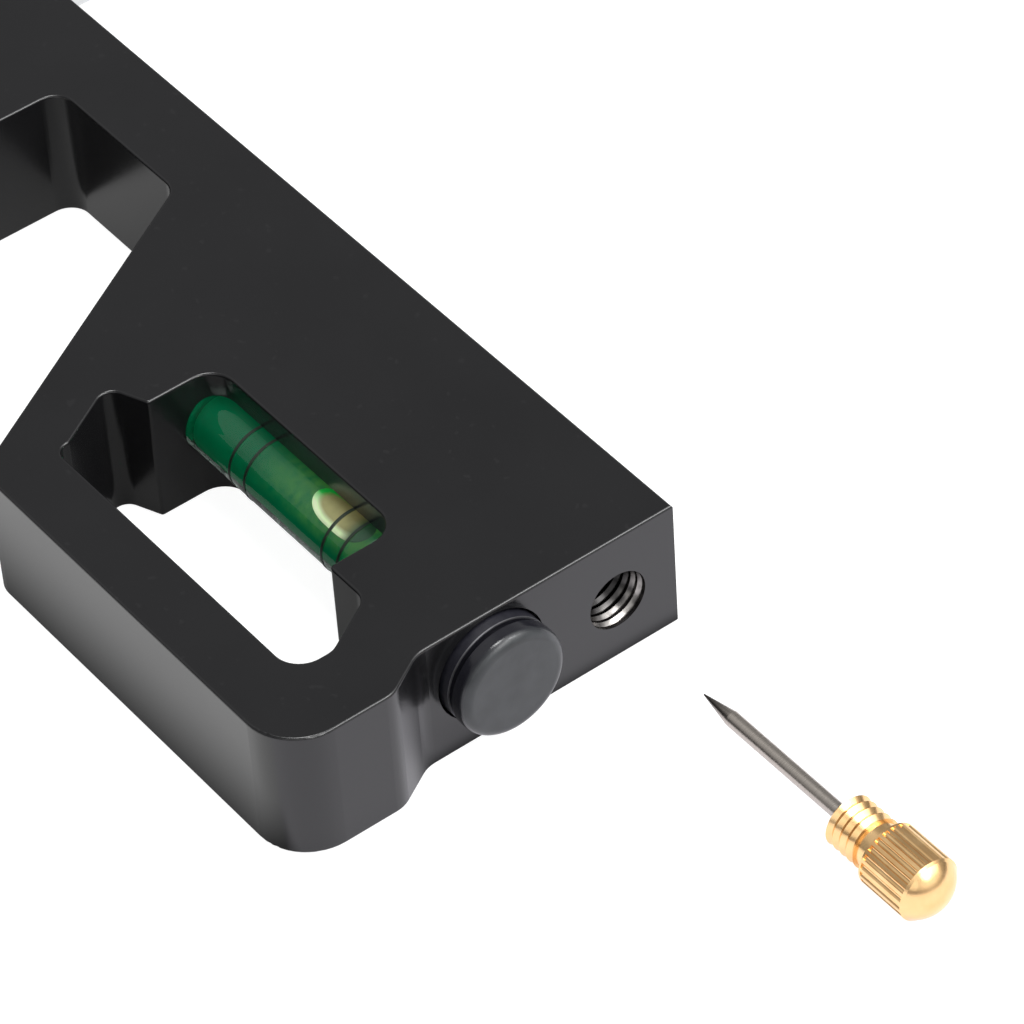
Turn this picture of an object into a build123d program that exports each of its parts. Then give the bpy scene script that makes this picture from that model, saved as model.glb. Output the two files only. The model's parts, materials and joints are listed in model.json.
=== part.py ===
from build123d import *
import math
import os

# Multifunction square: a flat aluminium head with a steel rule through it, a clamp,
# a spirit vial in a window, and a brass scriber that screws into the end face.
# Millimetres. Origin: the lower corner where the rule's datum edge crosses the
# reference face. +X runs to the small end face, +Y out of the reference face, +Z up.
# Along the head, stations are measured from the end face and depths from the reference face.

# Head outline
thickness = 16.0
end_to_rule = 113.0
slot_depth = 24.0
arm_depth = 9.8
lobe_depth = 49.35
lobe_overhang = 2.8
overhang_from = 31.4
slant_station = 77.35
slant_angle = 30.0
block_wall = 20.0
outer_end_depth = 35.0
mitre_angle = 45.0
mitre_inset = 0.4
lobe_corner = 6.0
overhang_corner = 3.5
slant_corner = 3.0
notch_corner = 2.5
block_corner = 1.0
edge_round = 0.3

# Window through the lobe
window_near = 15.3
window_far = 46.2
window_edge = 22.4
window_waist = 30.8
window_back = 41.85
finger_near = 5.8
finger_shoulder = 9.55
finger_depth = 37.3
pocket_station = 50.9
pocket_depth = 32.8
pocket_end = 40.25
window_corner = 3.0
finger_corner = 2.5
shoulder_corner = 2.2
pocket_corner = 1.6
back_corner = 1.4
waist_corner = 0.6
lip_corner = 0.4
tip_corner = 0.5

# Rule and its slot
rule_length = 300.0
rule_width = 25.0
rule_thickness = 1.5
rule_reach = 180.0
groove_width = 3.0
groove_depth = 0.6
slide_gap = 0.05

# Clamp
clamp_depth = 33.0
bolt_radius = 2.5
bolt_length = 49.5
bolt_bore_gap = 0.1
bolt_pitch = 0.8
bolt_thread_depth = 0.35
bolt_end_chamfer = 0.6
draw_travel = 0.8
lug_width = 1.4
lug_top_gap = 0.1
flat_gap = 0.1
nut_radius = 7.0
nut_length = 9.0
nut_collar = 2.0
nut_collar_radius = 5.2
nut_bore_gap = 0.06
knurl_count = 30
knurl_radius = 0.45
nut_chamfer = 0.6
washer_radius = 5.5
washer_thickness = 0.8
washer_bore_gap = 0.25
seat_gap = 0.05
spring_pocket_radius = 4.2
spring_pocket_depth = 4.5
spring_wire_radius = 0.4
spring_turns = 3.0

# Vial
vial_depth = 22.9
vial_height = 9.0
vial_radius = 3.9
vial_inner_radius = 2.05
vial_length = 34.0
vial_bottom = 0.8
vial_seat_depth = 0.35
vial_bore_gap = 0.1
plug_length = 6.4
glass_gap = 0.02
mark_inner = 6.6
mark_outer = 9.2
mark_width = 0.35
mark_proud = 0.05
mark_groove = 0.15
bubble_radius = 1.35
bubble_length = 8.8
bubble_rise = 0.62
bubble_gap = 0.1
bubble_from_plug = 0.5
pad_radius = 3.8

# Bore plug that closes the vial bore
recess_radius = 6.5
recess_depth = 3.0
plug_thread_radius = 4.6
plug_thread_gap = 0.1
plug_thread_depth = 11.8
plug_pitch = 1.0
plug_groove = 0.3
flange_radius = 6.2
flange_proud = 1.2
plug_neck_radius = 5.4
plug_neck = 0.7
spigot_radius = 3.0
spigot_length = 1.2
cap_radius = 6.3
cap_thickness = 2.0
cap_edge = 1.1
seal_radius = 5.7
seal_thickness = 0.8

# Scriber and its hole
scriber_depth = 7.3
scriber_height = 7.6
hole_mouth_radius = 3.45
hole_thread_radius = 2.95
hole_thread_depth = 6.4
hole_groove = 0.3
hole_pilot_radius = 2.65
hole_end_gap = 1.4
thread_pitch = 1.0
knob_radius = 3.6
knob_length = 6.5
dome_length = 2.0
dome_edge = 0.25
flute_count = 22
flute_radius = 0.36
flute_depth = 0.22
shoulder_length = 0.5
neck_radius = 2.6
neck_length = 1.2
thread_radius = 2.9
thread_length = 4.4
thread_groove = 0.4
thread_chamfer = 0.5
needle_radius = 0.85
needle_reach = 27.2
needle_point = 4.3
needle_tip_radius = 0.08
needle_socket = 4.0
needle_fit = 0.01
scriber_out = 39.7
scriber_lie_depth = 6.6


def along(station, depth, height):
    """Plane through a line along the head: x runs in from the end face, y runs up."""
    return Plane(origin=(end_to_rule - station, -depth, height), x_dir=(-1, 0, 0), z_dir=(0, 1, 0))


def turning_axis(plane):
    return Axis(plane.origin, plane.x_dir)


def ring_grooves(first, last, pitch, crest, depth):
    """Profile points of V grooves from one station to another, cut into the crest radius."""
    count = int((last - first) / pitch + 1e-6)
    points = []
    for i in range(count):
        start = first + i * pitch
        points.append((start, crest))
        points.append((start + pitch / 2, crest - depth))
    points.append((first + count * pitch, crest))
    return points


plan = Plane(origin=(end_to_rule, 0, 0), x_dir=(-1, 0, 0), z_dir=(0, 0, 1))
mid = thickness / 2
outer_end = end_to_rule + slot_depth
block_face = end_to_rule - block_wall
mitre_end = end_to_rule + mitre_inset
block_depth = outer_end_depth + (outer_end - mitre_end) * math.tan(math.radians(90 - mitre_angle))
slant = math.tan(math.radians(slant_angle))
overhang_depth = overhang_from + lobe_overhang / slant
slot_height = rule_thickness + 2 * slide_gap

clamp_line = along(0, clamp_depth, mid)
vial_line = along(0, vial_depth, vial_height)
hole_line = along(0, scriber_depth, scriber_height)

bolt_bore = bolt_radius + bolt_bore_gap
groove_station = end_to_rule + slide_gap + rule_width / 2
lug_station = groove_station - groove_width / 2 + slide_gap
nut_station = block_face - washer_thickness - 2 * seat_gap - nut_length
bolt_tip = lug_station + lug_width + bolt_radius * 2
bolt_start = bolt_tip - bolt_length
bolt_bore_end = bolt_tip + draw_travel + flat_gap

vial_end = window_far + vial_seat_depth - seat_gap
vial_start = vial_end - vial_length
vial_middle = (vial_start + vial_end) / 2
liquid_start = vial_start + plug_length + seat_gap
liquid_end = vial_end - vial_bottom - glass_gap
vial_bore = vial_radius + vial_bore_gap

# Head: outline and window as one extrusion with softened edges, then slot and bores
head_points = [
    (0, 0),
    (outer_end, 0),
    (outer_end, outer_end_depth),
    (mitre_end, block_depth),
    (block_face, block_depth),
    (block_face, arm_depth),
    (slant_station - arm_depth * slant, arm_depth),
    (slant_station - lobe_depth * slant, lobe_depth),
    (-lobe_overhang, lobe_depth),
    (-lobe_overhang, overhang_depth),
    (0, overhang_from),
]
head_corners = [
    0,
    0,
    0,
    0,
    block_corner,
    notch_corner,
    notch_corner,
    slant_corner,
    lobe_corner,
    overhang_corner,
    overhang_corner,
]
window_points = [
    (window_near, window_edge),
    (window_far, window_edge),
    (window_far, window_waist),
    (pocket_station, pocket_depth),
    (window_far + lip_corner, pocket_end),
    (window_far + lip_corner, window_back),
    (finger_near, window_back),
    (finger_near, finger_depth),
    (finger_shoulder, window_waist),
    (window_near, window_waist),
]
window_corners = [
    window_corner,
    window_corner,
    lip_corner,
    pocket_corner,
    tip_corner,
    back_corner,
    window_corner,
    finger_corner,
    shoulder_corner,
    waist_corner,
]

hole_end = needle_reach + hole_end_gap
hole_slope = (hole_mouth_radius - hole_thread_radius) / hole_thread_depth
hole_threads = int(hole_thread_depth / thread_pitch)

with BuildPart() as head:
    with BuildSketch(plan):
        with BuildLine():
            FilletPolyline(*head_points, radius=head_corners, close=True)
        make_face()
        with BuildLine():
            FilletPolyline(*window_points, radius=window_corners, close=True)
        make_face(mode=Mode.SUBTRACT)
    extrude(amount=thickness)
    fillet(head.faces().filter_by(Axis.Z).edges(), radius=edge_round)

    # Slot for the rule, open at the outer end
    with BuildSketch(plan.offset(mid - slot_height / 2)):
        with Locations((end_to_rule, -edge_round)):
            Rectangle(slot_depth + edge_round, block_depth + 2 * edge_round, align=(Align.MIN, Align.MIN))
    extrude(amount=slot_height, mode=Mode.SUBTRACT)

    # Clamp bore under the rule, with a pocket for the spring
    with BuildSketch(clamp_line):
        with BuildLine():
            Polyline(
                (block_face - seat_gap, 0),
                (bolt_bore_end, 0),
                (bolt_bore_end, bolt_bore),
                (block_face + spring_pocket_depth, bolt_bore),
                (block_face + spring_pocket_depth, spring_pocket_radius),
                (block_face - seat_gap, spring_pocket_radius),
                close=True,
            )
        make_face()
    revolve(axis=turning_axis(clamp_line), mode=Mode.SUBTRACT)

    # Vial bore: recess, thread for the plug, then the vial's own bore to its seat
    with BuildSketch(vial_line):
        with BuildLine():
            Polyline(
                (-lobe_overhang, 0),
                (window_far + vial_seat_depth, 0),
                (window_far + vial_seat_depth, vial_bore),
                (plug_thread_depth, vial_bore),
                (plug_thread_depth, plug_thread_radius + plug_thread_gap),
                (recess_depth, plug_thread_radius + plug_thread_gap),
                (recess_depth, recess_radius),
                (-lobe_overhang, recess_radius),
                close=True,
            )
        make_face()
    revolve(axis=turning_axis(vial_line), mode=Mode.SUBTRACT)

    # Scriber hole: thread with a slight lead-in taper, then the drilled pilot
    with BuildSketch(hole_line):
        with BuildLine():
            Polyline(
                (0, 0),
                (hole_end, 0),
                (hole_end - hole_pilot_radius / 2, hole_pilot_radius),
                (hole_thread_depth, hole_pilot_radius),
                (hole_thread_depth, hole_thread_radius),
                (0, hole_mouth_radius),
                close=True,
            )
        make_face()
        for i in range(hole_threads):
            groove_middle = (i + 0.75) * thread_pitch
            crest = hole_mouth_radius - hole_slope * groove_middle
            with BuildLine():
                Polyline(
                    (groove_middle - thread_pitch / 2, 0),
                    (groove_middle - thread_pitch / 2, crest - hole_groove / 2),
                    (groove_middle, crest + hole_groove),
                    (groove_middle + thread_pitch / 2, crest - hole_groove / 2),
                    (groove_middle + thread_pitch / 2, 0),
                    close=True,
                )
            make_face()
    revolve(axis=turning_axis(hole_line), mode=Mode.SUBTRACT)

# Rule: steel strip with a clamping groove along its underside
rule_height = mid - rule_thickness / 2
with BuildPart() as rule:
    with BuildSketch(plan.offset(rule_height)):
        with Locations((end_to_rule + slide_gap, -rule_reach)):
            Rectangle(rule_width, rule_length, align=(Align.MIN, Align.MIN))
    extrude(amount=rule_thickness)
    with BuildSketch(plan.offset(rule_height)):
        with Locations((groove_station, -rule_reach)):
            Rectangle(groove_width, rule_length, align=(Align.CENTER, Align.MIN))
    extrude(amount=groove_depth, mode=Mode.SUBTRACT)

# Clamp bolt: threaded at the nut, cut flat under the rule, with a lug in the groove
thread_end = nut_station + nut_length
flat_start = end_to_rule - draw_travel - 2 * flat_gap
flat_height = rule_height - flat_gap - mid
with BuildPart() as clamp_bolt:
    with BuildSketch(clamp_line):
        with BuildLine():
            Polyline(
                (bolt_start, 0),
                (bolt_start, bolt_radius - bolt_end_chamfer),
                *ring_grooves(
                    bolt_start + bolt_end_chamfer,
                    thread_end,
                    bolt_pitch,
                    bolt_radius,
                    bolt_thread_depth,
                ),
                (bolt_tip, bolt_radius),
                (bolt_tip, 0),
                close=True,
            )
        make_face()
    revolve(axis=turning_axis(clamp_line))
    with BuildSketch(clamp_line):
        with BuildLine():
            Polyline(
                (flat_start, flat_height),
                (lug_station, flat_height),
                (lug_station, rule_height + groove_depth - lug_top_gap - mid),
                (lug_station + lug_width, rule_height + groove_depth - lug_top_gap - mid),
                (lug_station + lug_width, flat_height),
                (bolt_tip, flat_height),
                (bolt_tip, bolt_radius),
                (flat_start, bolt_radius),
                close=True,
            )
        make_face()
    extrude(amount=bolt_radius, both=True, mode=Mode.SUBTRACT)

# Clamp spring: keeps the lug against the groove, in the pocket behind the washer
spring_length = spring_pocket_depth - 2 * spring_wire_radius - 2 * seat_gap
spring_radius = (bolt_bore + spring_pocket_radius) / 2
spring_station = block_face + seat_gap + spring_wire_radius
with BuildPart() as clamp_spring:
    with BuildLine() as spring_path:
        Helix(
            pitch=spring_length / spring_turns,
            height=spring_length,
            radius=spring_radius,
            center=(end_to_rule - spring_station, -clamp_depth, mid),
            direction=(-1, 0, 0),
        )
    with BuildSketch(Plane(origin=spring_path.line @ 0, z_dir=spring_path.line % 0)):
        Circle(spring_wire_radius)
    sweep(path=spring_path.line, is_frenet=True)

# Clamp washer: between the nut and the block
washer_station = block_face - seat_gap - washer_thickness
with BuildPart() as clamp_washer:
    with BuildSketch(clamp_line):
        with BuildLine():
            Polyline(
                (washer_station, bolt_radius + washer_bore_gap),
                (washer_station + washer_thickness, bolt_radius + washer_bore_gap),
                (washer_station + washer_thickness, washer_radius),
                (washer_station, washer_radius),
                close=True,
            )
        make_face()
    revolve(axis=turning_axis(clamp_line))

# Clamp nut: knurled thumb nut with a plain collar towards the washer
nut_bore = bolt_radius + nut_bore_gap
collar_station = nut_station + nut_length - nut_collar
nut_face = Plane(
    origin=(end_to_rule - nut_station, -clamp_depth, mid),
    x_dir=(0, 1, 0),
    z_dir=(-1, 0, 0),
)
with BuildPart() as clamp_nut:
    with BuildSketch(clamp_line):
        with BuildLine():
            Polyline(
                (nut_station, nut_bore),
                (nut_station, nut_radius - nut_chamfer),
                (nut_station + nut_chamfer, nut_radius),
                (collar_station - nut_chamfer, nut_radius),
                (collar_station, nut_radius - nut_chamfer),
                (collar_station, nut_collar_radius),
                (nut_station + nut_length, nut_collar_radius),
                (nut_station + nut_length, nut_bore),
                close=True,
            )
        make_face()
    revolve(axis=turning_axis(clamp_line))
    with BuildSketch(nut_face):
        with PolarLocations(nut_radius, knurl_count):
            RegularPolygon(knurl_radius, 4)
    extrude(amount=nut_length - nut_collar, mode=Mode.SUBTRACT)

# Vial tube: clear acrylic, closed at the far end, with four shallow mark grooves
mark_stations = [
    vial_middle - mark_outer,
    vial_middle - mark_inner,
    vial_middle + mark_inner,
    vial_middle + mark_outer,
]
mark_floor = vial_radius - mark_groove
with BuildPart() as vial_tube:
    with BuildSketch(vial_line):
        with BuildLine():
            Polyline(
                (vial_start, vial_inner_radius),
                (vial_start, vial_radius),
                (vial_end, vial_radius),
                (vial_end, 0),
                (vial_end - vial_bottom, 0),
                (vial_end - vial_bottom, vial_inner_radius),
                close=True,
            )
        make_face()
        for station in mark_stations:
            with Locations((station, vial_radius)):
                Rectangle(mark_width, 2 * mark_groove, mode=Mode.SUBTRACT)
    revolve(axis=turning_axis(vial_line))

# Vial plug: closes the filled tube at the near end
with BuildPart() as vial_plug:
    with BuildSketch(vial_line):
        with Locations((vial_start, 0)):
            Rectangle(plug_length, vial_inner_radius - glass_gap, align=(Align.MIN, Align.MIN))
    revolve(axis=turning_axis(vial_line))

# Vial liquid: fills the tube, with the channel along the top that the bubble runs in
bubble_line = along(0, vial_depth, vial_height + bubble_rise)
with BuildPart() as vial_liquid:
    with BuildSketch(vial_line):
        with Locations((liquid_start, 0)):
            Rectangle(
                liquid_end - liquid_start,
                vial_inner_radius - glass_gap,
                align=(Align.MIN, Align.MIN),
            )
    revolve(axis=turning_axis(vial_line))
    with BuildSketch(bubble_line):
        with Locations((liquid_start - seat_gap, 0)):
            Rectangle(
                liquid_end - liquid_start + 2 * seat_gap,
                bubble_radius + bubble_gap,
                align=(Align.MIN, Align.MIN),
            )
    revolve(axis=turning_axis(bubble_line), mode=Mode.SUBTRACT)

# Vial bubble: a round-ended slug of air that runs along the top of the tube
bubble_start = liquid_start + bubble_from_plug
bubble_end = bubble_start + bubble_length
with BuildPart() as vial_bubble:
    with BuildSketch(bubble_line):
        with BuildLine():
            Line((bubble_start, 0), (bubble_end, 0))
            RadiusArc((bubble_start, 0), (bubble_start + bubble_radius, bubble_radius), bubble_radius)
            Line((bubble_start + bubble_radius, bubble_radius), (bubble_end - bubble_radius, bubble_radius))
            RadiusArc((bubble_end - bubble_radius, bubble_radius), (bubble_end, 0), bubble_radius)
        make_face()
    revolve(axis=turning_axis(bubble_line))

# Vial marks: two pairs of black rings, even about the middle of the vial
vial_marks = []
for number, station in enumerate(mark_stations, start=1):
    with BuildPart() as vial_mark:
        with BuildSketch(vial_line):
            with Locations((station, mark_floor + glass_gap)):
                Rectangle(
                    mark_width - 2 * glass_gap,
                    mark_groove + mark_proud - glass_gap,
                    align=(Align.CENTER, Align.MIN),
                )
        revolve(axis=turning_axis(vial_line))
    vial_mark.part.label = f"vial_mark_{number}"
    vial_marks.append(vial_mark.part)

# Vial pad: rubber cushion between the bore plug and the vial
pad_start = plug_thread_depth - seat_gap
pad_length = vial_start - seat_gap - pad_start
with BuildPart() as vial_pad:
    with BuildSketch(vial_line):
        with Locations((pad_start, 0)):
            Rectangle(pad_length, pad_radius, align=(Align.MIN, Align.MIN))
    revolve(axis=turning_axis(vial_line))

# Bore plug: threaded metal plug with a flange that stands proud of the end face
flange_back = recess_depth - seal_thickness - 2 * seat_gap
plug_face = -flange_proud - plug_neck
with BuildPart() as bore_plug:
    with BuildSketch(vial_line):
        with BuildLine():
            Polyline(
                (plug_face - spigot_length, 0),
                (plug_face - spigot_length, spigot_radius),
                (plug_face, spigot_radius),
                (plug_face, plug_neck_radius),
                (-flange_proud, plug_neck_radius),
                (-flange_proud, flange_radius),
                (flange_back, flange_radius),
                (flange_back, plug_thread_radius),
                *ring_grooves(recess_depth, pad_start - seat_gap, plug_pitch, plug_thread_radius, plug_groove),
                (pad_start - seat_gap, plug_thread_radius - plug_groove),
                (pad_start - seat_gap, 0),
                close=True,
            )
        make_face()
    revolve(axis=turning_axis(vial_line))

# Bore plug cap: matt disc with a rounded rim, pressed over the plug's spigot
cap_face = plug_face - cap_thickness
with BuildPart() as bore_plug_cap:
    with BuildSketch(vial_line):
        with BuildLine():
            Polyline(
                (cap_face, 0),
                (cap_face, cap_radius),
                (plug_face, cap_radius),
                (plug_face, spigot_radius + glass_gap),
                (plug_face - spigot_length - glass_gap, spigot_radius + glass_gap),
                (plug_face - spigot_length - glass_gap, 0),
                close=True,
            )
        make_face()
    revolve(axis=turning_axis(vial_line))
    fillet(bore_plug_cap.faces().sort_by(Axis.X)[-1].edges(), radius=cap_edge)

# Bore plug seal: flat rubber ring under the flange
with BuildPart() as bore_plug_seal:
    with BuildSketch(vial_line):
        with Locations((recess_depth - seat_gap, plug_thread_radius + plug_thread_gap)):
            Rectangle(
                seal_thickness,
                seal_radius - plug_thread_radius - plug_thread_gap,
                align=(Align.MAX, Align.MIN),
            )
    revolve(axis=turning_axis(vial_line))

# Scriber: lies on the bench in front of its hole, point towards the end face
scriber_line = along(-scriber_out, scriber_lie_depth, knob_radius)
thread_start = neck_length
needle_full = needle_reach - needle_point
flute_ring = knob_radius + flute_radius - flute_depth
dome_base = knob_radius - dome_edge
dome_rise = dome_length - dome_edge
dome_curve = (dome_base**2 + dome_rise**2) / (2 * dome_rise)
dome_centre = -knob_length - dome_length + dome_curve
knob_back = Plane(
    origin=(end_to_rule + scriber_out + knob_length, -scriber_lie_depth, knob_radius),
    x_dir=(0, 1, 0),
    z_dir=(-1, 0, 0),
)
with BuildPart() as scriber_knob:
    with BuildSketch(scriber_line):
        with BuildLine():
            Polyline(
                (-knob_length - dome_length, 0),
                (neck_length + thread_length, 0),
                (neck_length + thread_length, thread_radius - thread_chamfer),
                *reversed(
                    ring_grooves(
                        thread_start,
                        neck_length + thread_length - thread_chamfer / 2,
                        thread_pitch,
                        thread_radius,
                        thread_groove,
                    )
                ),
                (neck_length, neck_radius),
                (0, neck_radius),
                (-shoulder_length, knob_radius),
                (-knob_length, knob_radius),
                (-knob_length - dome_edge, knob_radius - dome_edge),
            )
            CenterArc(
                (dome_centre, 0),
                dome_curve,
                180 - math.degrees(math.asin(dome_base / dome_curve)),
                math.degrees(math.asin(dome_base / dome_curve)),
            )
        make_face()
    revolve(axis=turning_axis(scriber_line))
    with BuildSketch(knob_back):
        with PolarLocations(flute_ring, flute_count):
            Circle(flute_radius)
    extrude(amount=knob_length - shoulder_length - flute_depth, mode=Mode.SUBTRACT)
    with BuildSketch(scriber_line):
        with Locations((neck_length + thread_length - needle_socket, 0)):
            Rectangle(needle_socket, needle_radius + needle_fit, align=(Align.MIN, Align.MIN))
    revolve(axis=turning_axis(scriber_line), mode=Mode.SUBTRACT)

# Scriber needle: hardened steel, pressed into the brass knob
with BuildPart() as scriber_needle:
    with BuildSketch(scriber_line):
        with BuildLine():
            Polyline(
                (neck_length + thread_length - needle_socket + needle_fit, 0),
                (neck_length + thread_length - needle_socket + needle_fit, needle_radius),
                (needle_full, needle_radius),
                (needle_reach, needle_tip_radius),
                (needle_reach, 0),
                close=True,
            )
        make_face()
    revolve(axis=turning_axis(scriber_line))

head.part.label = "head"
rule.part.label = "rule"
clamp_bolt.part.label = "clamp_bolt"
clamp_spring.part.label = "clamp_spring"
clamp_washer.part.label = "clamp_washer"
clamp_nut.part.label = "clamp_nut"
vial_tube.part.label = "vial_tube"
vial_plug.part.label = "vial_plug"
vial_liquid.part.label = "vial_liquid"
vial_bubble.part.label = "vial_bubble"
vial_pad.part.label = "vial_pad"
bore_plug.part.label = "bore_plug"
bore_plug_cap.part.label = "bore_plug_cap"
bore_plug_seal.part.label = "bore_plug_seal"
scriber_knob.part.label = "scriber_knob"
scriber_needle.part.label = "scriber_needle"

os.makedirs("parts", exist_ok=True)
export_step(head.part, "parts/head.step")
export_step(rule.part, "parts/rule.step")
export_step(clamp_bolt.part, "parts/clamp_bolt.step")
export_step(clamp_spring.part, "parts/clamp_spring.step")
export_step(clamp_washer.part, "parts/clamp_washer.step")
export_step(clamp_nut.part, "parts/clamp_nut.step")
export_step(vial_tube.part, "parts/vial_tube.step")
export_step(vial_plug.part, "parts/vial_plug.step")
export_step(vial_liquid.part, "parts/vial_liquid.step")
export_step(vial_bubble.part, "parts/vial_bubble.step")
for vial_mark_part in vial_marks:
    export_step(vial_mark_part, f"parts/{vial_mark_part.label}.step")
export_step(vial_pad.part, "parts/vial_pad.step")
export_step(bore_plug.part, "parts/bore_plug.step")
export_step(bore_plug_cap.part, "parts/bore_plug_cap.step")
export_step(bore_plug_seal.part, "parts/bore_plug_seal.step")
export_step(scriber_knob.part, "parts/scriber_knob.step")
export_step(scriber_needle.part, "parts/scriber_needle.step")
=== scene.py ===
import json
import math
import bmesh
import bpy
from mathutils import Matrix, Vector


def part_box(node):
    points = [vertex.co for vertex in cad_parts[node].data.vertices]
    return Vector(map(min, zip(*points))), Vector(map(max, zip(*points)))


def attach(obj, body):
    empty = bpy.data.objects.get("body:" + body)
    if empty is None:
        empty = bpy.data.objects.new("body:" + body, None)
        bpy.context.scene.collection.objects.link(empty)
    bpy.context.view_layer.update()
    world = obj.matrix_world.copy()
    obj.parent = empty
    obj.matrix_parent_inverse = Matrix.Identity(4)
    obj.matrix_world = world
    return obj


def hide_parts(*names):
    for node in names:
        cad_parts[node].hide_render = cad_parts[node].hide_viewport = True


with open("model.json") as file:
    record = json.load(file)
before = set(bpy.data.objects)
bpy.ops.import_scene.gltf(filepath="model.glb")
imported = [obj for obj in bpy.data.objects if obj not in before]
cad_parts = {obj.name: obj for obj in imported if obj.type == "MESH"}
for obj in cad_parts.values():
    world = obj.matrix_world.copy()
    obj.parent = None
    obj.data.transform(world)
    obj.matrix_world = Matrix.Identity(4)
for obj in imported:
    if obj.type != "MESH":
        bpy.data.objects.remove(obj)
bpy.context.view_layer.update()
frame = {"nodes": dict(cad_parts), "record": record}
nodes = frame["nodes"]

# Camera: where the photograph was taken from, with a long lens.
# The place and direction are in the row frame, metres and degrees.
camera_place = Vector((0.43301, -0.24010, 0.40214))
camera_down = 43.952
camera_turn = 55.382
camera_roll = -4.208
lens_mm = 198.92
sensor_mm = 36.0
nearest_seen = 0.01
down = math.radians(camera_down)
turn = math.radians(camera_turn)
look = Vector((-math.cos(down) * math.sin(turn), math.cos(down) * math.cos(turn), -math.sin(down)))
camera_data = bpy.data.cameras.new("camera")
camera_data.lens = lens_mm
camera_data.sensor_width = sensor_mm
camera_data.clip_start = nearest_seen
camera = bpy.data.objects.new("camera", camera_data)
camera.matrix_world = (
    Matrix.Translation(camera_place)
    @ look.to_track_quat("-Z", "Y").to_matrix().to_4x4()
    @ Matrix.Rotation(math.radians(camera_roll), 4, "Z")
)
bpy.context.scene.collection.objects.link(camera)
bpy.context.scene.camera = camera
bpy.context.scene.view_settings.view_transform = "Standard"


# Head: milled aluminium, bead blasted and anodised black, with a satin sheen.
# The solid's own shape stays; the finish is a fine grain, with bare metal in the scriber's hole,
# painted shade deeper in that hole, and painted shade in the recess round the bore plug.
class Shade:
    """A socket in a material's nodes. Arithmetic on it adds Math nodes; add() makes any other node."""

    def __init__(self, tree, socket=None):
        self.tree = tree
        self.socket = socket

    def add(self, kind, settings=None, sockets=None, output=0):
        node = self.tree.nodes.new(kind)
        for name, value in (settings or {}).items():
            if name == "stops":
                stops = node.color_ramp.elements
                while len(stops) < len(value):
                    stops.new(0.5)
                for stop, (place, colour) in zip(stops, value):
                    stop.position = place
                    stop.color = colour
            else:
                setattr(node, name, value)
        for name, value in (sockets or {}).items():
            if isinstance(value, Shade):
                self.tree.links.new(value.socket, node.inputs[name])
            else:
                node.inputs[name].default_value = value
        return Shade(self.tree, node.outputs[output] if node.outputs else None)

    def output(self, name):
        """Another output of the node that this socket belongs to."""
        return Shade(self.tree, self.socket.node.outputs[name])

    def maths(self, operation, first, second=0.0):
        return self.add("ShaderNodeMath", {"operation": operation}, {0: first, 1: second})

    def __add__(self, other):
        return self.maths("ADD", self, other)

    def __radd__(self, other):
        return self.maths("ADD", other, self)

    def __sub__(self, other):
        return self.maths("SUBTRACT", self, other)

    def __rsub__(self, other):
        return self.maths("SUBTRACT", other, self)

    def __mul__(self, other):
        return self.maths("MULTIPLY", self, other)

    def __rmul__(self, other):
        return self.maths("MULTIPLY", other, self)

    def __truediv__(self, other):
        return self.maths("DIVIDE", self, other)

    def __pow__(self, other):
        return self.maths("POWER", self, other)

    def __lt__(self, other):
        return self.maths("LESS_THAN", self, other)

    def __gt__(self, other):
        return self.maths("GREATER_THAN", self, other)

    def __abs__(self):
        return self.maths("ABSOLUTE", self)


def new_material(name):
    """A bare material, a Shade to build its nodes with, and the place on the object."""
    material = bpy.data.materials.new(name)
    material.use_nodes = True
    material.node_tree.nodes.clear()
    shade = Shade(material.node_tree)
    return material, shade, shade.add("ShaderNodeTexCoord", output="Object")


def axes_of(place):
    """A place's three coordinates: along the head, across it, and up."""
    along = place.add("ShaderNodeSeparateXYZ", None, {"Vector": place})
    return along, along.output("Y"), along.output("Z")


def noise(place, scale, detail=2.0):
    """Soft noise from 0 to 1, finer with a larger scale."""
    return place.add("ShaderNodeTexNoise", None, {"Vector": place, "Scale": scale, "Detail": detail})


def ramp(value, start, end, low=0.0, high=1.0):
    """Goes from low, where the value is at the start, to high at the end, and stays flat past both."""
    limits = {"Value": value, "From Min": start, "From Max": end, "To Min": low, "To Max": high}
    return value.add("ShaderNodeMapRange", {"clamp": True}, limits)


def mixed(shade, amount, first, second):
    """Colour between two others. Only their numbers tell a Mix node's colour sockets from the rest."""
    return shade.add(
        "ShaderNodeMix",
        {"data_type": "RGBA"},
        {"Factor": amount, 6: first, 7: second},
        output=2,
    )


def bumped(height, strength, depth=0.0001):
    """A fine relief that follows the height."""
    return height.add("ShaderNodeBump", None, {"Strength": strength, "Distance": depth, "Height": height})


def length_of(across, up):
    """Distance from a line, out of the two offsets from it."""
    return (across * across + up * up) ** 0.5


def surface(shade, sockets):
    """Ends a material in a Principled surface."""
    principled = shade.add("ShaderNodeBsdfPrincipled", None, sockets)
    shade.add("ShaderNodeOutputMaterial", None, {"Surface": principled})


def wear(piece, material):
    """Gives a piece its one material."""
    piece.data.materials.clear()
    piece.data.materials.append(material)


def corners_of(node):
    """A node's lowest and highest corners at rest."""
    low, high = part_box(node)
    return Vector(low), Vector(high)


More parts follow.
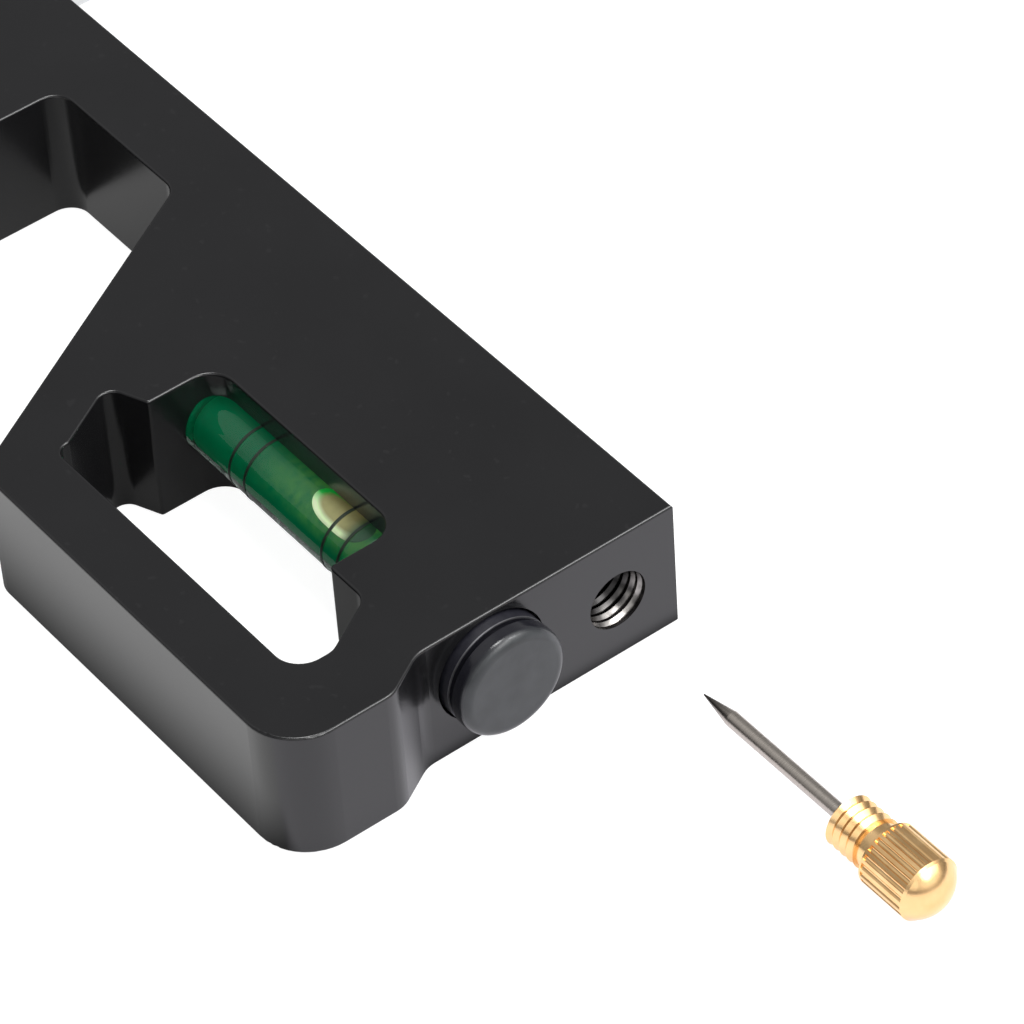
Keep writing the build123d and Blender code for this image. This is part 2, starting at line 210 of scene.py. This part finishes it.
joints = {joint["name"]: joint for joint in frame["record"]["behaviour"]["joints"]}
bore_place = Vector(joints["bore_plug_turn"]["pos_m"])
knob_low, knob_high = corners_of("scriber_knob")
slide_axis = Vector(joints["scriber_slide"]["axis"])
slide_length = joints["scriber_slide"]["range_m"][1]
hole_place = (knob_low + knob_high) / 2 + slide_axis * slide_length
end_face_x = bore_place.x
hole_reach = 0.032
hole_metal_radius = 0.0038
hole_dark_depth = 0.0032
hole_lip_depth = 0.0008
hole_top_shade = 0.85
recess_radius = 0.0066
face_skin = 0.00004
speck_level = 0.74
speck_strength = 0.2
cut_gain = 2.2
cut_floor = 0.6

anodised, shade, place = new_material("anodised_black")
along, across, up = axes_of(place)
grain = noise(place, 4200.0)
cloud = noise(place, 60.0, 4.0)
specks = noise(place, 900.0, 1.0)
inside = (along < end_face_x - face_skin) * (along > end_face_x - hole_reach)
bare = inside * (length_of(across - hole_place.y, up - hole_place.z) < hole_metal_radius)
# Painted shade: the film is darker in the recess round the bore plug.
recess_shade = inside * (length_of(across - bore_place.y, up - bore_place.z) < recess_radius)
film_and_shade = mixed(shade, cloud, (0.0046, 0.0046, 0.0052, 1), (0.0076, 0.0076, 0.0083, 1))
film_and_shade = mixed(shade, (specks > speck_level) * speck_strength, film_and_shade, (0.022, 0.022, 0.023, 1))
film_and_shade = mixed(shade, recess_shade, film_and_shade, (0.003, 0.003, 0.008, 1))
cut_metal_and_shade = mixed(shade, cut_gain * specks - cut_floor, (0.05, 0.048, 0.048, 1), (0.44, 0.42, 0.40, 1))
# Painted shade: the hole's metal turns dark deeper in and at its top, and stays bright only near its mouth,
# low down.
shaded_hole_top = ramp(up, hole_place.z - hole_metal_radius / 2, hole_place.z + hole_metal_radius / 2)
lit_hole_mouth = ramp(along, end_face_x - hole_dark_depth, end_face_x - hole_lip_depth)
cut_metal_and_shade = mixed(shade, lit_hole_mouth * (1.0 - hole_top_shade * shaded_hole_top), (0.032, 0.031, 0.031, 1), cut_metal_and_shade)
surface(
    shade,
    {
        "Base Color": mixed(shade, bare, film_and_shade, cut_metal_and_shade),
        "Metallic": bare,
        "Roughness": 0.17 + 0.09 * cloud + 0.05 * bare,
        "IOR": 1.48,
        "Normal": bumped(grain, 0.035),
    },
)
wear(nodes["head"], anodised)


# Rule: hardened steel strip with a satin chrome finish, ground along its length.
# It slides through the head, and both its faces are graduated along both edges:
# a line each millimetre, longer ones each 5 and 10, and a plain number each 10.
def streaks(place, scales, detail=2.0):
    """Noise with its own scale along each axis, for a grain that runs one way."""
    return noise(place.add("ShaderNodeMapping", None, {"Vector": place, "Scale": scales}), 1.0, detail)


rule_steel, shade, place = new_material("rule_satin_steel")
brush = streaks(place, (9000.0, 60.0, 9000.0), 3.0)
surface(
    shade,
    {
        "Base Color": mixed(shade, brush, (0.50, 0.51, 0.52, 1), (0.66, 0.67, 0.68, 1)),
        "Metallic": 1.0,
        "Roughness": 0.30 + 0.12 * brush,
        "Normal": bumped(brush, 0.08),
    },
)
wear(nodes["rule"], rule_steel)


def new_piece(name, mesh, smooth=False):
    """Puts a finished mesh into the scene as an object."""
    data = bpy.data.meshes.new(name)
    mesh.to_mesh(data)
    mesh.free()
    if smooth:
        data.shade_smooth()
    piece = bpy.data.objects.new(name, data)
    bpy.context.scene.collection.objects.link(piece)
    return piece


millimetre = 0.001
line_width = 0.00013
line_proud = 0.00001
line_lengths = {10: 0.0052, 5: 0.0040, 1: 0.0029}
number_step = 10
digit_height = 0.0024
digit_share_of_size = 0.7
digit_inset = 0.0078
marks_weld = 1e-8
digit_curve = bpy.data.curves.new("digit", "FONT")
digit_curve.size = digit_height / digit_share_of_size
digit_curve.extrude = line_proud / 2
digit_curve.align_x = "CENTER"
digit_curve.align_y = "CENTER"
digit_object = bpy.data.objects.new("digit", digit_curve)
rule_low, rule_high = corners_of("rule")
rule_length = round((rule_high.y - rule_low.y) / millimetre)
number_meshes = {}
for count in range(number_step, rule_length, number_step):
    digit_curve.body = str(count)
    number_meshes[count] = bpy.data.meshes.new_from_object(digit_object)
rule_marks = bmesh.new()
for face_z, outward in ((rule_high.z, 1), (rule_low.z, -1)):
    mark_z = face_z + outward * line_proud / 2
    reading = Matrix(((0, -outward, 0), (1, 0, 0), (0, 0, outward))).to_4x4()
    for edge_x, inward in ((rule_high.x, -1), (rule_low.x, 1)):
        for count in range(1, rule_length):
            line_length = line_lengths[max(step for step in line_lengths if count % step == 0)]
            line_x = edge_x + inward * (line_length / 2 + line_width)
            line_middle = Vector((line_x, rule_high.y - count * millimetre, mark_z))
            line_size = Matrix.Diagonal((line_length, line_width, line_proud, 1.0))
            bmesh.ops.create_cube(rule_marks, size=1.0, matrix=Matrix.Translation(line_middle) @ line_size)
        for count, number_mesh in number_meshes.items():
            number_x = edge_x + inward * digit_inset
            number_middle = Vector((number_x, rule_high.y - count * millimetre, mark_z))
            number = number_mesh.copy()
            number.transform(Matrix.Translation(number_middle) @ reading)
            rule_marks.from_mesh(number)
bmesh.ops.remove_doubles(rule_marks, verts=rule_marks.verts, dist=marks_weld)
rule_graduations = new_piece("rule_graduations", rule_marks)
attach(rule_graduations, "rule_blade")

scale_black, shade, place = new_material("engraving_black")
wear_and_highlight = noise(place, 1400.0)
surface(
    shade,
    {
        "Base Color": mixed(shade, wear_and_highlight, (0.010, 0.010, 0.011, 1), (0.030, 0.030, 0.031, 1)),
        "Roughness": 0.45 + 0.2 * wear_and_highlight,
    },
)
wear(rule_graduations, scale_black)


# Clamp bolt and washer: turned steel, zinc plated.
# The bolt is drawn by the thumb nut and hooks into the groove under the rule.
def turned_metal(name, grain_scale, grain_detail, dull, bright, smoothest, spread):
    """A bare metal whose colour and gloss vary with one soft noise."""
    metal, shade, place = new_material(name)
    grain = noise(place, grain_scale, grain_detail)
    surface(
        shade,
        {
            "Base Color": mixed(shade, grain, dull, bright),
            "Metallic": 1.0,
            "Roughness": smoothest + spread * grain,
        },
    )
    return metal


bolt_steel = turned_metal(
    "zinc_plated_steel",
    grain_scale=1500.0,
    grain_detail=3.0,
    dull=(0.42, 0.43, 0.44, 1),
    bright=(0.60, 0.60, 0.58, 1),
    smoothest=0.26,
    spread=0.14,
)
wear(nodes["clamp_bolt"], bolt_steel)
wear(nodes["clamp_washer"], bolt_steel)

# Clamp spring: drawn steel wire, oiled, in the pocket behind the washer.
# Only its coils' edges can be seen through the slot.
wire_steel = turned_metal(
    "spring_wire",
    grain_scale=2600.0,
    grain_detail=2.0,
    dull=(0.24, 0.24, 0.25, 1),
    bright=(0.36, 0.36, 0.37, 1),
    smoothest=0.24,
    spread=0.12,
)
wear(nodes["clamp_spring"], wire_steel)

# Clamp nut: knurled thumb nut, nickel plated steel.
# It turns on the bolt in the notch, against the washer.
nickel = turned_metal(
    "nickel_plate",
    grain_scale=900.0,
    grain_detail=4.0,
    dull=(0.55, 0.53, 0.49, 1),
    bright=(0.66, 0.64, 0.60, 1),
    smoothest=0.18,
    spread=0.14,
)
wear(nodes["clamp_nut"], nickel)

# Vial: clear acrylic tube, moulded shut at the far end and lying half in the window's wall.
# The spirit is green and fills the bore; both its mesh and the bubble's press on the acrylic,
# because a gap of air there would turn the wall of the bore into a mirror.
acrylic, shade, place = new_material("clear_acrylic")
haze = noise(place, 700.0)
surface(
    shade,
    {
        "Base Color": (0.78, 0.95, 0.86, 1),
        "Roughness": 0.004 + 0.004 * haze,
        "IOR": 1.46,
        "Specular IOR Level": 0.2,
        "Transmission Weight": 1.0,
    },
)
wear(nodes["vial_tube"], acrylic)

press = 0.00004
turn_steps = 72
round_steps = 6
liquid_round = 0.00045
end_skin = 0.00012
liquid_low, liquid_high = corners_of("vial_liquid")
vial_y = (liquid_low.y + liquid_high.y) / 2
vial_z = bore_place.z
liquid_radius = (liquid_high.y - liquid_low.y) / 2 + press
liquid_far = corners_of("vial_tube")[0].x + end_skin
liquid_profile = [(liquid_far, 0.0)]
for step in range(round_steps + 1):
    angle = math.pi / 2 * step / round_steps
    rounded_x = liquid_far + liquid_round * (1 - math.cos(angle))
    liquid_profile.append((rounded_x, liquid_radius - liquid_round * (1 - math.sin(angle))))
liquid_profile += [(liquid_high.x, liquid_radius), (liquid_high.x, 0.0)]
liquid_mesh = bmesh.new()
rings = []
for x, radius in liquid_profile:
    if radius == 0.0:
        rings.append([liquid_mesh.verts.new((x, vial_y, vial_z))] * turn_steps)
        continue
    ring = []
    for step in range(turn_steps):
        angle = 2 * math.pi * step / turn_steps
        y = vial_y + radius * math.cos(angle)
        ring.append(liquid_mesh.verts.new((x, y, vial_z + radius * math.sin(angle))))
    rings.append(ring)
for ring, next_ring in zip(rings, rings[1:]):
    for step in range(turn_steps):
        corners = (ring[step - 1], ring[step], next_ring[step], next_ring[step - 1])
        liquid_mesh.faces.new(tuple(dict.fromkeys(corners)))
bmesh.ops.recalc_face_normals(liquid_mesh, faces=liquid_mesh.faces)
spirit = new_piece("spirit", liquid_mesh, smooth=True)
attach(spirit, "square_head")
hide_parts("vial_liquid")

# The spirit's green is painted darker low down as shade, with a faint painted glow, and painted
# light makes it yellower near the bubble's far end, where light falls in through the meniscus.
bubble_low, bubble_high = corners_of("vial_bubble")
glow_reach = 0.009
sunlit_from = 0.45
sunlit_full = 0.95
mottle_gain = 2.6
mottle_floor = 0.45
green, shade, place = new_material("green_spirit")
along, _, up = axes_of(place)
swirl = noise(place, 260.0)
mottle = noise(place, 900.0)
height = (up - (vial_z - liquid_radius)) / (2 * liquid_radius)
height_shade_and_swirl = 0.75 * height + 0.3 * swirl
by_bubble = ramp(along, bubble_low.x - glow_reach, bubble_low.x)
sunlit = ramp(height, sunlit_from, sunlit_full) * by_bubble * (mottle_gain * mottle - mottle_floor)
body = mixed(shade, height_shade_and_swirl, (0.0, 0.055, 0.022, 1), (0.0005, 0.095, 0.042, 1))
glow = mixed(shade, height_shade_and_swirl, (0.0, 0.028, 0.010, 1), (0.0, 0.050, 0.020, 1))
surface(
    shade,
    {
        "Base Color": mixed(shade, sunlit, body, (0.035, 0.14, 0.04, 1)),
        "Roughness": 0.12,
        "Specular IOR Level": 0.0,
        # Painted glow: the spirit gives off a faint green light of its own, stronger where it is painted
        # sunlit.
        "Emission Color": mixed(shade, sunlit, glow, (0.020, 0.080, 0.016, 1)),
        "Emission Strength": 1.0,
    },
)
wear(spirit, green)

# Bubble: a long slug of air under the top of the bore, hollowed below and round at both ends.
# Its outline is the meniscus, painted as a bright highlight, and the whole bubble has a faint
# painted glow; it slides along the tube as the tool is tilted.
bubble_middle = (bubble_low.x + bubble_high.x) / 2
bubble_half = (bubble_high.x - bubble_low.x) / 2
bubble_skin = liquid_radius + 0.5 * press
bubble_angle = math.radians(47)
bubble_width = bubble_skin * math.sin(bubble_angle)
bubble_steps = 36
bubble_lanes = 18
end_power = 3
belly = 0.25
bubble_weld = 2e-7
bubble_mesh = bmesh.new()
upper, lower = {}, {}
for step in range(bubble_steps + 1):
    share = -math.cos(math.pi * step / bubble_steps)
    half_angle = bubble_angle * (1 - abs(share) ** end_power) ** 0.5
    x = bubble_middle + share * bubble_half
    for lane in range(bubble_lanes + 1):
        side = 2 * lane / bubble_lanes - 1
        angle = side * half_angle
        y = vial_y + bubble_skin * math.sin(angle)
        sunk = belly * (1 - side * side) * math.sin(half_angle)
        upper_z = vial_z + bubble_skin * math.cos(angle)
        lower_z = vial_z + bubble_skin * (math.cos(half_angle) - sunk)
        upper[step, lane] = bubble_mesh.verts.new((x, y, upper_z))
        lower[step, lane] = bubble_mesh.verts.new((x, y, lower_z))
for sheet in (upper, lower):
    for step in range(bubble_steps):
        for lane in range(bubble_lanes):
            corners = [(step, lane), (step + 1, lane), (step + 1, lane + 1), (step, lane + 1)]
            bubble_mesh.faces.new([sheet[corner] for corner in corners])
bmesh.ops.remove_doubles(bubble_mesh, verts=bubble_mesh.verts, dist=bubble_weld)
bmesh.ops.recalc_face_normals(bubble_mesh, faces=bubble_mesh.faces)
air_bubble = new_piece("air_bubble", bubble_mesh, smooth=True)
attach(air_bubble, "bubble")
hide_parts("vial_bubble")

# The zones of its painted highlight and colour, as shares of its half length and half width:
# where each starts and is full.
rim_zone = (0.36, 0.70)
far_zone = (0.2, -0.5)
near_zone = (0.30, 0.62)
low_zone = (0.1, -0.5)
meniscus_share = 0.3
air, shade, place = new_material("bubble_air")
along, across, _ = axes_of(place)
swirl = noise(place, 500.0)
length_share = (along - bubble_middle) / bubble_half
width_share = (across - vial_y) / bubble_width
rim = ramp(abs(length_share) ** end_power + width_share * width_share, *rim_zone)
far_side = ramp(length_share, *far_zone)
near_side = ramp(length_share, *near_zone)
low_side = ramp(width_share, *low_zone)
meniscus_highlight = mixed(shade, low_side, (0.01, 0.42, 0.05, 1), (0.85, 0.92, 0.60, 1))
meniscus_glow = mixed(shade, meniscus_share, (0, 0, 0, 1), meniscus_highlight)
# Painted highlight: the meniscus is bright at the far end and the low side, and fades at the near end.
rim_highlight = rim * shade.maths("MAXIMUM", far_side, 0.9 * low_side) * (1.0 - near_side)
body = mixed(shade, swirl, (0.26, 0.20, 0.07, 1), (0.60, 0.48, 0.24, 1))
body = mixed(shade, near_side, body, (0.03, 0.085, 0.045, 1))
faint_glow = mixed(shade, swirl, (0.030, 0.026, 0.008, 1), (0.090, 0.070, 0.030, 1))
faint_glow = mixed(shade, near_side, faint_glow, (0.006, 0.018, 0.009, 1))
surface(
    shade,
    {
        "Base Color": mixed(shade, rim_highlight, body, meniscus_highlight),
        "Roughness": 0.15 + 0.1 * swirl,
        "IOR": 1.2,
        "Emission Color": mixed(shade, rim_highlight, faint_glow, meniscus_glow),
        "Emission Strength": 1.0,
    },
)
wear(air_bubble, air)

# Vial rings and plug: four rings of black ink in shallow grooves round the tube,
# and a pale green moulded plug that seals the near end, with a faint painted glow.
ring_count = 4
ink, shade, place = new_material("ring_ink")
coat = noise(place, 2000.0)
surface(
    shade,
    {
        "Base Color": mixed(shade, coat, (0.004, 0.010, 0.006, 1), (0.010, 0.020, 0.012, 1)),
        "Roughness": 0.25 + 0.2 * coat,
    },
)
for number in range(1, ring_count + 1):
    wear(nodes[f"vial_mark_{number}"], ink)

moulded, shade, place = new_material("plug_plastic")
moulding = noise(place, 1200.0)
surface(
    shade,
    {
        "Base Color": mixed(shade, moulding, (0.07, 0.16, 0.10, 1), (0.12, 0.24, 0.16, 1)),
        "Roughness": 0.4 + 0.1 * moulding,
        # Painted glow: the plug gives off a faint green light of its own.
        "Emission Color": (0.018, 0.040, 0.024, 1),
        "Emission Strength": 1.0,
    },
)
wear(nodes["vial_plug"], moulded)

# Rubber pieces: the pad behind the vial and the seal under the plug's flange.
# Both are black, soft and dull.
rubber, shade, place = new_material("black_rubber")
dust = noise(place, 3000.0, 3.0)
surface(
    shade,
    {
        "Base Color": mixed(shade, dust, (0.012, 0.012, 0.012, 1), (0.022, 0.022, 0.022, 1)),
        "Roughness": 0.6 + 0.2 * dust,
    },
)
wear(nodes["vial_pad"], rubber)
wear(nodes["bore_plug_seal"], rubber)

# Bore plug: blackened steel screw that closes the vial's bore, with a worn rim of bare metal
# painted bright as the flange edge's highlight.
# Its grey cap stands proud of the flange on a short neck, with a fine mottled skin
# and a glossy rounded rim, painted darker than the front face as shade.
plug_low, plug_high = corners_of("bore_plug")
cap_low, cap_high = corners_of("bore_plug_cap")
flange_rim = (plug_high.y - plug_low.y) / 2
neck_length = 0.0007
plug_front = cap_low.x - neck_length
rim_highlight_width = 0.00016
blackened, shade, place = new_material("blackened_steel")
along, across, up = axes_of(place)
oxide = noise(place, 1800.0, 3.0)
# Painted highlight: a thin ring of bright bare metal at the flange's front outer edge.
wear_and_highlight = length_of(across - bore_place.y, up - bore_place.z) > flange_rim - rim_highlight_width
wear_and_highlight = wear_and_highlight * (along > plug_front - rim_highlight_width)
dark = mixed(shade, oxide, (0.006, 0.006, 0.010, 1), (0.016, 0.016, 0.022, 1))
surface(
    shade,
    {
        "Base Color": mixed(shade, wear_and_highlight * (0.7 + 0.3 * oxide), dark, (0.34, 0.34, 0.36, 1)),
        "Metallic": 0.9 * wear_and_highlight,
        "Roughness": 0.30 + 0.15 * oxide,
    },
)
wear(nodes["bore_plug"], blackened)

rim_depth = 0.0010
cap_grey, shade, place = new_material("matt_grey_cap")
along = axes_of(place)[0]
fine = noise(place, 7000.0)
cloud = noise(place, 420.0, 4.0)
front = ramp(along, cap_high.x - rim_depth, cap_high.x - rim_depth / 4)
face_grey = mixed(shade, cloud, (0.012, 0.014, 0.016, 1), (0.056, 0.060, 0.063, 1))
# Painted shade: the cap's rim and side are darker than its front face.
shaded_rim_grey = mixed(shade, cloud, (0.004, 0.004, 0.007, 1), (0.016, 0.016, 0.020, 1))
surface(
    shade,
    {
        "Base Color": mixed(shade, front, shaded_rim_grey, face_grey),
        "Roughness": 0.12 + (0.14 + 0.18 * cloud) * front,
        "Specular IOR Level": 0.4,
        "Normal": bumped(fine, 0.10),
    },
)
wear(nodes["bore_plug_cap"], cap_grey)

# Scriber knob: turned brass with straight flutes, a plain neck and a polished round end.
# Its thread screws into the end face, so that the needle is stored inside the head.
brass, shade, place = new_material("polished_brass")
tarnish = noise(place, 420.0, 4.0)
scratches = streaks(place, (700.0, 5000.0, 5000.0))
surface(
    shade,
    {
        "Base Color": mixed(shade, tarnish, (0.78, 0.44, 0.17, 1), (0.98, 0.70, 0.37, 1)),
        "Metallic": 1.0,
        "Roughness": 0.15 + 0.14 * tarnish,
        "Normal": bumped(scratches, 0.04),
    },
)
wear(nodes["scriber_knob"], brass)

# Scriber needle: hardened steel, ground round with fine turning lines and a long point.
# It is pressed into the knob; the point is darker from the grinding heat.
point_length = 0.0045
tip_x = corners_of("scriber_needle")[0].x
needle_steel, shade, place = new_material("ground_needle")
along = axes_of(place)[0]
lines = streaks(place, (9000.0, 900.0, 900.0))
heat = ramp(along, tip_x + point_length, tip_x + point_length / 3)
ground = mixed(shade, lines, (0.36, 0.325, 0.29, 1), (0.48, 0.44, 0.40, 1))
surface(
    shade,
    {
        "Base Color": mixed(shade, heat * 0.8, ground, (0.10, 0.095, 0.09, 1)),
        "Metallic": 1.0,
        "Roughness": 0.22 + 0.14 * lines,
        "Normal": bumped(lines, 0.03),
    },
)
wear(nodes["scriber_needle"], needle_steel)

# Floor: a white sweep that the tool lies on, seen as white by the camera.
# Most of its whiteness is its own, so that the shadow on it stays faint. In the tool's
# reflections it has painted shade under the head, most of all in the window, and it is
# painted faintly blue past the head's ends.
floor_size = 6.0
floor_drop = 0.0001
floor_glow = 0.93
lobe_depth = 0.0494
shade_width = 0.006
end_sharpness = 4.0
notch_end = 0.046
window_level = 0.20
notch_level = 0.70
open_level = 0.99
head_start = corners_of("head")[0].x
floor_white, shade, place = new_material("floor_white")
along, across, _ = axes_of(place)
past_end = abs(along - (head_start + end_face_x) / 2) - (end_face_x - head_start) / 2
past_end = shade.maths("MAXIMUM", past_end, 0.0)
past_side = shade.maths("MAXIMUM", abs(across + lobe_depth / 2) - lobe_depth / 2, 0.0)
open_floor = ramp(length_of(past_end * end_sharpness, past_side), 0.0, shade_width)
# Painted shade in reflections: the floor's glow for glossy rays is lower under the head.
shaded = ramp(along, notch_end, 0.0, window_level, notch_level)
camera_ray = shade.add("ShaderNodeLightPath")
glossy_ray = camera_ray.output("Is Glossy Ray")
seen = shade.maths("MAXIMUM", camera_ray, camera_ray.output("Is Transmission Ray"))
seen = seen * floor_glow + (shaded + (open_level - shaded) * open_floor) * glossy_ray
# Painted shade and tint in reflections: the paper is darker under the head, and bluish past its ends.
paper_and_shade = mixed(shade, glossy_ray * (1.0 - open_floor), (0.27, 0.27, 0.27, 1), (0.11, 0.11, 0.11, 1))
past_head = (past_end > 0.0) * glossy_ray
glow = mixed(shade, past_head, (1, 1, 1, 1), (0.985, 0.965, 1.04, 1))
surface(
    shade,
    {
        "Base Color": paper_and_shade,
        "Roughness": 1.0,
        "Specular IOR Level": 0.0,
        "Emission Color": shade.add("ShaderNodeVectorMath", {"operation": "SCALE"}, {0: glow, "Scale": seen}),
        "Emission Strength": 1.0,
    },
)
floor_mesh = bmesh.new()
bmesh.ops.create_grid(floor_mesh, x_segments=1, y_segments=1, size=floor_size / 2)
floor = new_piece("floor", floor_mesh)
floor.location = (0, 0, -floor_drop)
floor.data.materials.append(floor_white)

# Light: two small soft boxes above, a weak fill, and a dim room with three brighter
# patches and a small bright one that only glossy finishes mirror, as a lamp's glint.
# The room is white to the camera, and has a dark band at the horizon in reflections.
world = bpy.data.worlds.new("studio")
bpy.context.scene.world = world
world.use_nodes = True
world.node_tree.nodes.clear()
shade = Shade(world.node_tree)
camera_ray = shade.add("ShaderNodeLightPath")
direction = shade.add("ShaderNodeTexCoord", output="Generated")
height = axes_of(direction)[2]
room_levels = [(0.0, 0.30), (0.05, 0.12), (0.12, 0.25), (0.3, 0.46), (0.6, 0.35), (1.0, 0.34)]
room_stops = [(place, (grey, grey, grey, 1)) for place, grey in room_levels]
level = shade.add("ShaderNodeValToRGB", {"stops": room_stops}, {"Fac": height})
every_ray = 1.0
room_patches = [
    ((-0.56, -0.30, 0.77), 0.86, 0.97, 0.9, every_ray),
    ((0.36, 0.40, 0.84), 0.82, 0.93, 6.5, every_ray),
    ((0.80, 0.15, 0.58), 0.66, 0.92, 2.0, every_ray),
    ((0.72, 0.09, 0.70), 0.972, 0.988, 20.0, camera_ray.output("Is Glossy Ray")),
]
brightness = 1.0
for patch_direction, patch_edge, patch_core, patch_strength, patch_rays in room_patches:
    towards = shade.add(
        "ShaderNodeVectorMath",
        {"operation": "DOT_PRODUCT"},
        {0: direction, 1: Vector(patch_direction).normalized()},
        output="Value",
    )
    brightness = brightness + patch_strength * ramp(towards, patch_edge, patch_core) * patch_rays
room = shade.add("ShaderNodeBackground", None, {"Color": level, "Strength": brightness})
white = shade.add("ShaderNodeBackground", None, {"Color": (1, 1, 1, 1), "Strength": 1.0})
sky = shade.add("ShaderNodeMixShader", None, {"Fac": camera_ray, 1: room, 2: white})
shade.add("ShaderNodeOutputWorld", None, {"Surface": sky})

light_aim = Vector((0.06, -0.025, 0.008))
light_rows = [
    ("key", (0.56, 0.45, 0.86), 0.30, 3.5),
    ("overhead", (0.06, 0.0, 1.05), 0.32, 5.0),
    ("fill", (0.75, -0.75, 0.55), 0.70, 1.2),
]
for light_name, light_place, light_size, light_watts in light_rows:
    light_data = bpy.data.lights.new(light_name, "AREA")
    light_data.size = light_size
    light_data.energy = light_watts
    light = bpy.data.objects.new(light_name, light_data)
    light.location = light_place
    light.rotation_euler = (light_aim - Vector(light_place)).to_track_quat("-Z", "Y").to_euler()
    bpy.context.scene.collection.objects.link(light)
